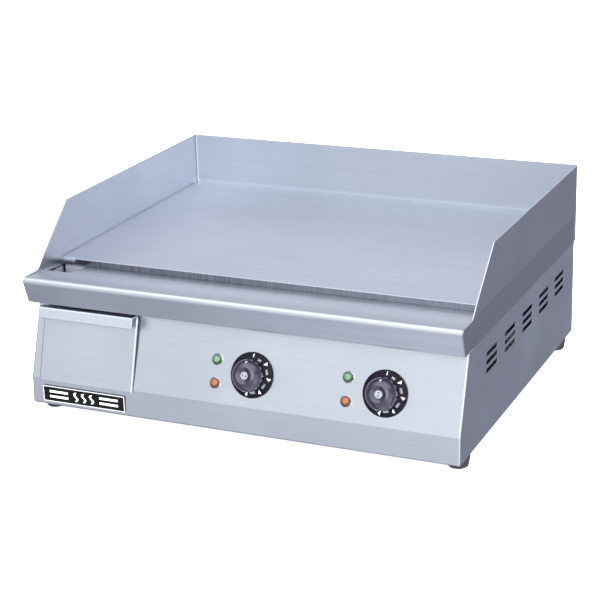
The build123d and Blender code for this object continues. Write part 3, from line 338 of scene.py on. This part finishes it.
# Spans of Z over which a sheet fades to painted shade or painted highlight: start, stop and the shade's
# factor.
# Painted highlight at the foot of the back splash, along its joint with the plate.
back_foot_painted_highlight = (plate_top + 7 * MM, plate_top + 2 * MM, 1.12)
# Painted shade at the foot of the side guards, in the corner with the plate.
side_foot_painted_shade = (plate_top + 6 * MM, plate_top, 0.78)
# Painted shade over the top 4 mm of the deck.
deck_painted_shade = (deck_top - 4 * MM, deck_top, 0.76)
# Painted shade over the top of the front panel, under the nosing.
panel_painted_shade = (panel_top - 14.4 * MM, panel_top + 6.6 * MM, 0.86)
# Painted highlight over the drawer's lip.
lip_painted_highlight = (lip_low - 0.4 * MM, lip_low, 1.12)
looks = {
    "guard_x": brushed("guard_satin_across", SHADED_GUARD_STEEL, 0.33, "x", painted_shading_bands=(back_foot_painted_highlight,)),
    "guard_y": brushed("guard_satin_lengthwise", SHADED_GUARD_STEEL, 0.33, "y", painted_shading_bands=(side_foot_painted_shade,)),
    "deck": brushed("deck_satin", tint(STEEL, 1.03), 0.3, "x", painted_shading_bands=(deck_painted_shade,)),
    "panel": brushed("panel_satin", tint(STEEL, 0.995), 0.34, "x", painted_shading_bands=(panel_painted_shade,)),
    "side": brushed("side_satin", tint(STEEL, 1.04), 0.36, "y"),
    "rear": brushed("rear_satin", tint(STEEL, 0.95), 0.38, "x"),
    "drawer": brushed("drawer_satin", STEEL, 0.34, "x", edge=1.2 * MM, painted_shading_bands=(lip_painted_highlight,)),
    "pan": brushed("pan_mill", tint(STEEL, 0.9), 0.4, "y"),
    "plate_steel": ground_plate("plate_ground", (0.6, 0.63, 0.7), 0.36),
    "chute": plain_metal("chute_mill", (0.35, 0.37, 0.43), 0.6, metallic=0.35),
    "inner_sheet": plain_metal("sheet_galvanised", (0.56, 0.57, 0.58), 0.42, spangle=0.6, scale=60),
    "fastener_steel": plain_metal("zinc_plate", (0.62, 0.62, 0.64), 0.3),
    "brass_bond": plain_metal("brass", (0.72, 0.55, 0.26), 0.28),
    "copper_tube": plain_metal("copper", (0.72, 0.42, 0.28), 0.3, dull=0.2, scale=60),
    "element_sheath": plain_metal("annealed_sheath", (0.24, 0.22, 0.22), 0.5, dull=0.3, scale=50),
    "chrome_trim": plain_metal("chrome", (0.86, 0.87, 0.9), 0.1, dull=0.04, edge=0.2 * MM),
    "cap_metal": plain_metal("cap_satin", (0.68, 0.68, 0.74), 0.28, dull=0.15, edge=0.2 * MM),
    "knob_black": moulded(
        "knob_phenolic",
        (0.007, 0.006, 0.014),
        0.2,
        shine=1.0,
        Coat_Weight=0.6,
        Specular_Tint=(0.9, 0.82, 1.0),
    ),
    "dial_black": moulded("dial_gloss", (0.004, 0.0035, 0.008), 0.3, shine=0.12),
    "badge_black": moulded("badge_enamel", (0.004, 0.004, 0.004), 0.3, shine=0.08),
    "moulded_black": moulded("switch_body", (0.03, 0.03, 0.03), 0.5),
    "gland_plastic": moulded("gland_nylon", (0.04, 0.04, 0.044), 0.45, grain=600),
    "foot_rubber": moulded("foot_rubber", (0.022, 0.022, 0.024), 0.7, grain=1400, depth=0.08 * MM),
    "moulded_white": moulded("terminal_ceramic", (0.8, 0.79, 0.75), 0.35, lift=1.1),
    "wire_cover": moulded("wire_sleeve", (0.6, 0.58, 0.54), 0.7, grain=2200, depth=0.1 * MM, lift=1.1),
    "insulation": fibre("ceramic_fibre", (0.8, 0.78, 0.72)),
}
# Each lens's crown colour, the painted shade of its lower rim and the painted reflection on its upper rim.
GREEN = ((0.085, 0.19, 0.08), (0.002, 0.02, 0.006), (0.05, 0.095, 0.06))
ORANGE = ((0.24, 0.065, 0.012), (0.026, 0.006, 0.002), (0.085, 0.048, 0.036))
by_node = {
    "splash_side_left": "guard_y",
    "splash_side_right": "guard_y",
    "splash_back": "guard_x",
    "front_deck": "deck",
    "front_panel": "panel",
    "side_panel_left": "side",
    "side_panel_right": "side",
    "rear_panel": "rear",
    "drawer_front": "drawer",
    "drawer_pan": "pan",
    "drain_chute": "chute",
    "knob_cap_left": "cap_metal",
    "knob_cap_right": "cap_metal",
}
for name, thing in sorted(nodes.items()):
    slot = thing.material_slots[0].material.name.split(".")[0]
    if name.startswith("lamp_lens"):
        made = lens("glass_" + name, name, *(GREEN if "green" in name else ORANGE))
    else:
        made = looks[by_node.get(name, slot)]
    for holder in thing.material_slots:
        holder.material = made


# ---------------------------------------------------------------- added pieces
def join(parts):
    """One list of points and faces out of several."""
    points, faces = [], []
    for more_points, more_faces in parts:
        start = len(points)
        points += more_points
        faces += [tuple(start + i for i in face) for face in more_faces]
    return points, faces


def mesh_piece(name, placing, parts, material, body):
    """A new piece out of several parts, drawn in the placing's own space, that rides on a body."""
    points, faces = join(parts)
    mesh = bpy.data.meshes.new(name)
    mesh.from_pydata([tuple(placing @ Vector(p)) for p in points], [], faces)
    mesh.validate()
    mesh.materials.append(material)
    piece = bpy.data.objects.new(name, mesh)
    scene.collection.objects.link(piece)
    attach(piece, body)


def prism(outline, base, top):
    """Points and faces of a closed prism over a 2-D outline; base and top give each corner's height."""
    count = len(outline)
    points = [(x, y, base(x, y)) for x, y in outline] + [(x, y, top(x, y)) for x, y in outline]
    faces = [tuple(reversed(range(count))), tuple(range(count, 2 * count))]
    faces += [(i, (i + 1) % count, count + (i + 1) % count, count + i) for i in range(count)]
    return points, faces


def disc(radius, sides=24):
    """The outline of a round."""
    angles = (math.tau * i / sides for i in range(sides))
    return [(radius * math.cos(a), radius * math.sin(a)) for a in angles]


def turned(outline, clockwise, radius):
    """A 2-D outline drawn about its own centre, moved out to a radius and round the dial."""
    angle = math.radians(clockwise)
    c, s = math.cos(angle), math.sin(angle)
    return [(x * c + (y + radius) * s, (y + radius) * c - x * s) for x, y in outline]


def digits(text, size):
    """A number as a thick mesh, centred: Z is over nought on its top face and under nought below."""
    curve = bpy.data.curves.new("digits", "FONT")
    curve.body = text
    curve.size = size
    curve.align_x = "CENTER"
    curve.align_y = "CENTER"
    curve.extrude = 0.5
    curve.resolution_u = 3
    curve.offset = 0.012 * size
    holder = bpy.data.objects.new("digits", curve)
    scene.collection.objects.link(holder)
    mesh = bpy.data.meshes.new_from_object(holder.evaluated_get(bpy.context.evaluated_depsgraph_get()))
    points = [tuple(v.co) for v in mesh.vertices]
    faces = [tuple(p.vertices) for p in mesh.polygons]
    bpy.data.objects.remove(holder)
    bpy.data.curves.remove(curve)
    bpy.data.meshes.remove(mesh)
    return points, faces


def dial_frame(joint):
    """The placing at a joint of drawing space: x right, y up the panel, z out of it."""
    out = -Vector(joint["axis"]).normalized()
    right = Vector((1, 0, 0))
    up = out.cross(right)
    turn = Matrix((right, up, out)).transposed().to_4x4()
    return Matrix.Translation(Vector(joint["pos_m"])) @ turn


def surface_height(node, placing):
    """Height of a node's outer face above the joint's point, as a function of drawing-space x, y."""
    mesh = nodes[node].data
    tree = BVHTree.FromPolygons(
        [v.co.copy() for v in mesh.vertices], [tuple(p.vertices) for p in mesh.polygons]
    )
    down = placing.to_3x3() @ Vector((0, 0, -1))
    over = 60 * MM

    def height(x, y):
        place, _, _, fall = tree.ray_cast(placing @ Vector((x, y, over)), down)
        return over - fall if place is not None else 0.0

    return height


white_ink = ink("print_white", (0.86, 0.87, 0.88))
silver_ink = ink("print_silver", (0.5, 0.51, 0.57), 0.3)
grey_ink = ink("print_grey", (0.4, 0.4, 0.44))
PRINT = 0.06 * MM


def dial_print(side):
    """Scale on the fixed dial ring: a white off line and wedges, and grey temperature numbers."""
    placing = dial_frame(joints[f"{side}_thermostat_turn"])
    height = surface_height(f"dial_{side}", placing)
    marks, numbers = [], []

    def stamp(outline):
        marks.append(
            prism(outline, lambda x, y: height(x, y) - PRINT / 2, lambda x, y: height(x, y) + PRINT)
        )

    bar = [(x * MM, y * MM) for x, y in ((-0.6, -2.2), (0.6, -2.2), (0.6, 2.2), (-0.6, 2.2))]
    stamp(turned(bar, 2, 25.4 * MM))
    wedge = [(x * MM, y * MM) for x, y in ((-1.6, -2.9), (2.0, 0.6), (-1.2, 3.0))]
    for clockwise in (50, 97, 146, 190):
        stamp(turned(wedge, clockwise, 24.6 * MM))
    wide = 1.25
    for clockwise, degrees in ((26, 50), (73, 100), (121, 150), (168, 200), (208, 250), (232, 300)):
        points, faces = digits(str(degrees), 4.0 * MM)
        flat = turned([(wide * x, y) for x, y, _ in points], clockwise, 22.2 * MM)
        lifts = [PRINT if z > 0 else -PRINT / 2 for _, _, z in points]
        numbers.append(([(x, y, height(x, y) + lift) for (x, y), lift in zip(flat, lifts)], faces))
    mesh_piece(f"dial_marks_{side}", placing, marks, white_ink, "griddle")
    mesh_piece(f"dial_numbers_{side}", placing, numbers, grey_ink, "griddle")


def pointer(side):
    """White spot on the knob's shoulder that is read against the scale."""
    placing = dial_frame(joints[f"{side}_thermostat_turn"])
    height = surface_height(f"knob_{side}", placing)
    spot = turned(disc(1.25 * MM), 0, 17.4 * MM)
    part = prism(spot, lambda x, y: height(x, y) - PRINT, lambda x, y: height(x, y) + PRINT)
    mesh_piece(f"pointer_{side}", placing, [part], white_ink, f"{side}_control")


def cap_plugs(side, clockwise):
    """Dark discs of painted shade at the bottom of the two holes in a knob's cap, which lie on a line at
    this angle.
    """
    placing = dial_frame(joints[f"{side}_thermostat_turn"])
    height = surface_height(f"knob_cap_{side}", placing)
    hole_radius, hole_at = 0.93 * MM, 2.2 * MM
    parts = []
    for angle in (clockwise, clockwise + 180):
        floor = height(*turned([(0, 0)], angle, hole_at)[0])
        shade_disc = turned(disc(hole_radius), angle, hole_at)
        parts.append(prism(shade_disc, lambda x, y: floor - 0.05 * MM, lambda x, y: floor + 0.3 * MM))
    black = looks["moulded_black"]
    mesh_piece(f"cap_plugs_{side}", placing, parts, black, f"{side}_control")


for side in ("left", "right"):
    dial_print(side)
    pointer(side)
cap_plugs("left", 102)
cap_plugs("right", 12)


def badge_print():
    """Silver border and a plain heat motif: three waves between pairs of bars."""
    low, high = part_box("badge_plate")
    x1, y1 = (high.x - low.x) / 2, (high.z - low.z) / 2
    placing = Matrix.Translation(Vector(((low.x + high.x) / 2, low.y, (low.z + high.z) / 2)))
    placing = placing @ Matrix(((1, 0, 0), (0, 0, -1), (0, 1, 0))).to_4x4()
    proud = 0.1 * MM

    def raised(outline):
        return prism(outline, lambda x, y: -proud, lambda x, y: proud)

    def strip(left, right, bottom, top):
        return raised([(left, bottom), (right, bottom), (right, top), (left, top)])

    line = 1.1 * MM
    border = [
        strip(-x1, x1, -y1, line - y1),
        strip(-x1, x1, y1 - line, y1),
        strip(-x1, line - x1, line - y1, y1 - line),
        strip(x1 - line, x1, line - y1, y1 - line),
    ]
    mesh_piece("badge_border", placing, border, silver_ink, "griddle")

    motif = []
    wave_tall, sway, half_stroke, steps = 12.5 * MM, 2.2 * MM, 1.5 * MM, 16
    for middle in (-12 * MM, 0, 12 * MM):
        rows = [
            (middle + sway * math.sin(math.tau * i / steps), (i / steps - 0.5) * wave_tall)
            for i in range(steps + 1)
        ]
        right_side = [(x + half_stroke, y) for x, y in rows]
        left_side = [(x - half_stroke, y) for x, y in reversed(rows)]
        motif.append(raised(right_side + left_side))
    for left, right in ((-52, -24), (24, 52)):
        for centre in (3.6 * MM, -3.6 * MM):
            motif.append(strip(left * MM, right * MM, centre - half_stroke, centre + half_stroke))
    mesh_piece("badge_motif", placing, motif, white_ink, "griddle")


badge_print()


# ---------------------------------------------------------------- floor and light
def build_floor():
    """A pale sheet that the metal doesn't mirror, just under the feet."""
    half = 9.0
    corners = [(-half, -half, 0), (half, -half, 0), (half, half, 0), (-half, half, 0)]
    mesh = bpy.data.meshes.new("floor")
    mesh.from_pydata(corners, [], [(0, 1, 2, 3)])
    floor = bpy.data.objects.new("floor", mesh)
    scene.collection.objects.link(floor)
    floor.location.z = cad_box[0].z - 0.1 * MM
    floor.visible_glossy = False
    white = (1.0, 1.0, 1.0)
    g = new_look(
        "floor_pale", Roughness=0.9, Specular_IOR_Level=0.0, Emission_Color=white, Emission_Strength=0.85
    )
    paper = g.noise((3, 3, 3))
    base = g.mix(g.spread(paper, 0.3, 0.7, 0, 1), (0.93, 0.93, 0.935), (0.95, 0.95, 0.95))
    g.feed(g.shader.inputs["Base Color"], base)
    mesh.materials.append(g.material)


def build_world():
    """A white studio: a dome that darkens downwards, with soft panels of light and shade round it."""
    world = bpy.data.worlds.new("studio")
    scene.world = world
    world.use_nodes = True
    g = Graph(world.node_tree)
    way = g.add("TexCoord").outputs["Generated"]
    tall = g.add("SeparateXYZ", Vector=way).outputs["Z"]
    colour = g.mix(g.spread(tall, -0.9, 0.3, 0, 1), (0.19, 0.195, 0.235), (0.51, 0.53, 0.59))

    def panel(direction, outer, inner, glow):
        """Blends the dome towards a colour inside a cone of directions, fully within the inner angle."""
        nonlocal colour
        near = g.vector("DOT_PRODUCT", way, Vector(direction).normalized())
        start, full = (math.cos(math.radians(angle)) for angle in (outer, inner))
        colour = g.mix(g.spread(near, start, full, 0, 1, smooth=True), colour, glow)

    # In front: well below the horizon, a little below it and a little above it; then overhead.
    panel((0.3, -0.5, -0.81), 50, 30, (1.04, 1.07, 1.19))
    panel((-0.05, -0.9, -0.3), 50, 20, (0.74, 0.76, 0.87))
    panel((0.05, -0.95, 0.3), 55, 15, (1.1, 1.17, 1.18))
    panel((0.0, -0.25, 1.0), 55, 25, (2.05, 2.1, 2.15))
    # Behind: up to the left, up to the right, and a dark one down to the right.
    panel((-0.388, 0.861, 0.328), 40, 12, (0.84, 0.88, 0.97))
    panel((0.388, 0.861, 0.35), 35, 12, (1.2, 1.25, 1.35))
    panel((0.388, 0.861, -0.38), 35, 15, (0.26, 0.27, 0.34))
    # On the right: a bright one in front, one low down and one level; then a dark one on the left.
    panel((0.45, -0.84, 0.34), 31, 15, (2.9, 2.95, 3.0))
    panel((0.84, -0.45, -0.28), 28, 12, (1.7, 1.75, 1.85))
    panel((0.96, -0.27, 0.05), 20, 8, (1.3, 1.35, 1.5))
    panel((-0.95, 0.0, 0.0), 35, 15, (0.3, 0.3, 0.36))
    seen = g.add("Background", Color=(1.0, 1.0, 1.0), Strength=1.0)
    lit = g.add("Background", Color=colour, Strength=1.0)
    pick = g.add("MixShader", Fac=g.add("LightPath").outputs["Is Camera Ray"])
    g.tree.links.new(lit.outputs[0], pick.inputs[1])
    g.tree.links.new(seen.outputs[0], pick.inputs[2])
    out = g.add("OutputWorld")
    g.tree.links.new(pick.outputs[0], out.inputs["Surface"])


def build_lights():
    """Three soft discs that light the object but aren't mirrored in it: place, size and power."""
    aim = Vector((0, 0, 0.1))
    for name, place, size, power in (
        ("key", (-1.2, -1.6, 2.2), 2.0, 90.0),
        ("fill", (1.6, -1.4, 1.8), 2.2, 40.0),
        ("rear", (0.2, 1.8, 2.0), 2.2, 40.0),
    ):
        data = bpy.data.lights.new(name, "AREA")
        data.shape = "DISK"
        data.size = size
        data.energy = power
        lamp = bpy.data.objects.new(name, data)
        scene.collection.objects.link(lamp)
        lamp.location = place
        lamp.rotation_mode = "QUATERNION"
        lamp.rotation_quaternion = (aim - Vector(place)).to_track_quat("-Z", "Y")
        lamp.visible_glossy = False


build_floor()
build_world()
build_lights()
scene.view_settings.view_transform = "Standard"
